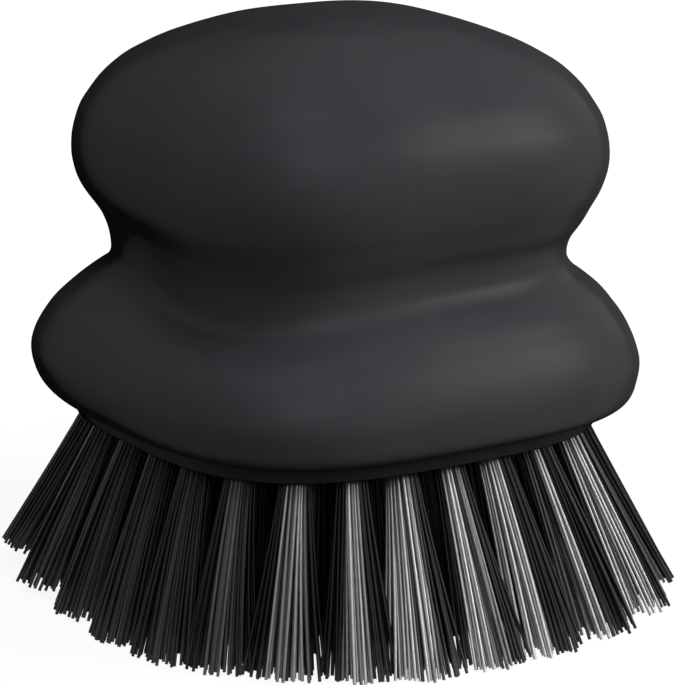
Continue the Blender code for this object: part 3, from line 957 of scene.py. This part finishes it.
# %% [markdown]
# The floor, the world and the lamps
#
# The brush stands on a plain white floor in a plain white surround. The camera and reflections see
# the surround at full white, and the rest of the light comes from it only dimly, so that the brush
# stays dark. A large lamp to the right gives the sheen, two weaker ones above and in front open the
# shadows, and a low one at the right edges the strands. The floor keeps the shadow of the brush, and
# fades to the white of the surround.

# %% Light the brush
AMBIENT = 0.03
FLOOR_RADIUS = 4.0
FLOOR_SIDES = 96
FLOOR_PAINT = 0.15
FLOOR_GLOW = 0.91
FADE_STARTS = 0.06
FADE_ENDS = 0.16
WHITE = (1.0, 1.0, 1.0)


def shown_share(tree):
    """One for what the camera, a reflection or a view through glass sees, and else zero."""
    seen = add(tree, "ShaderNodeLightPath", {}, {}, "Is Camera Ray")
    seen_or_mirrored = seen.math("MAXIMUM", seen, seen.other("Is Glossy Ray"))
    return seen.math("MAXIMUM", seen_or_mirrored, seen.other("Is Transmission Ray"))


world = bpy.data.worlds.new("white surround")
bpy.context.scene.world = world
world.use_nodes = True
tree = world.node_tree
tree.nodes.clear()
strength = shown_share(tree) * (1 - AMBIENT) + AMBIENT
surround = add(tree, "ShaderNodeBackground", {}, {"Color": (*WHITE, 1.0), "Strength": strength})
add(tree, "ShaderNodeOutputWorld", {}, {"Surface": surround})

floor_mesh = bpy.data.meshes.new("floor")
work = bmesh.new()
bmesh.ops.create_circle(work, cap_ends=True, segments=FLOOR_SIDES, radius=FLOOR_RADIUS)
work.to_mesh(floor_mesh)
work.free()
floor = bpy.data.objects.new("floor", floor_mesh)
bpy.context.scene.collection.objects.link(floor)

floor_white, tree, place = new_finish("floor white")
distance = add(tree, "ShaderNodeVectorMath", {"operation": "LENGTH"}, {0: place}, "Value")
glow = contrast(tree, distance, FADE_STARTS, FADE_ENDS, FLOOR_GLOW, 1.0)
paint = add(tree, "ShaderNodeBsdfDiffuse", {}, {"Color": (FLOOR_PAINT, FLOOR_PAINT, FLOOR_PAINT, 1.0)})
glowing = add(tree, "ShaderNodeEmission", {}, {"Color": glow, "Strength": shown_share(tree)})
lit = add(tree, "ShaderNodeAddShader", {}, {0: paint, 1: glowing})
clear = add(tree, "ShaderNodeBsdfTransparent")
from_below = add(tree, "ShaderNodeNewGeometry", {}, {}, "Backfacing")
both = add(tree, "ShaderNodeMixShader", {}, {0: from_below, 1: lit, 2: clear})
add(tree, "ShaderNodeOutputMaterial", {}, {"Surface": both})
floor_mesh.materials.append(floor_white)

COOL_WHITE = (0.96, 0.96, 1.03)
LIT_HEIGHT = 40 * MM
LAMP_DISTANCE = 0.8


def softbox(name, turn, rise, width, height, radiance, colour):
    """A flat lamp that faces the brush. Its turn starts at -Y, and radiance is how bright it looks."""
    data = bpy.data.lights.new(name, "AREA")
    data.shape = "RECTANGLE"
    data.size, data.size_y = width, height
    data.energy = radiance * math.pi * width * height
    data.color = colour
    lamp = bpy.data.objects.new(name, data)
    t, r = math.radians(turn), math.radians(rise)
    back = Vector((math.sin(t) * math.cos(r), -math.cos(t) * math.cos(r), math.sin(r)))
    lit_point = Vector((0, 0, LIT_HEIGHT))
    aim = (-back).to_track_quat("-Z", "Y").to_matrix().to_4x4()
    lamp.matrix_world = Matrix.Translation(lit_point + back * LAMP_DISTANCE) @ aim
    bpy.context.scene.collection.objects.link(lamp)


softbox("key softbox", 49, 26, 0.38, 0.36, 9.6, WHITE)
softbox("top softbox", -45, 72, 0.45, 0.45, 2.1, COOL_WHITE)
softbox("front softbox", -20, 34, 0.45, 0.45, 3.3, COOL_WHITE)
softbox("side softbox", 112, 8, 0.22, 0.34, 4.0, WHITE)
print("lamps:", len(bpy.data.lights))
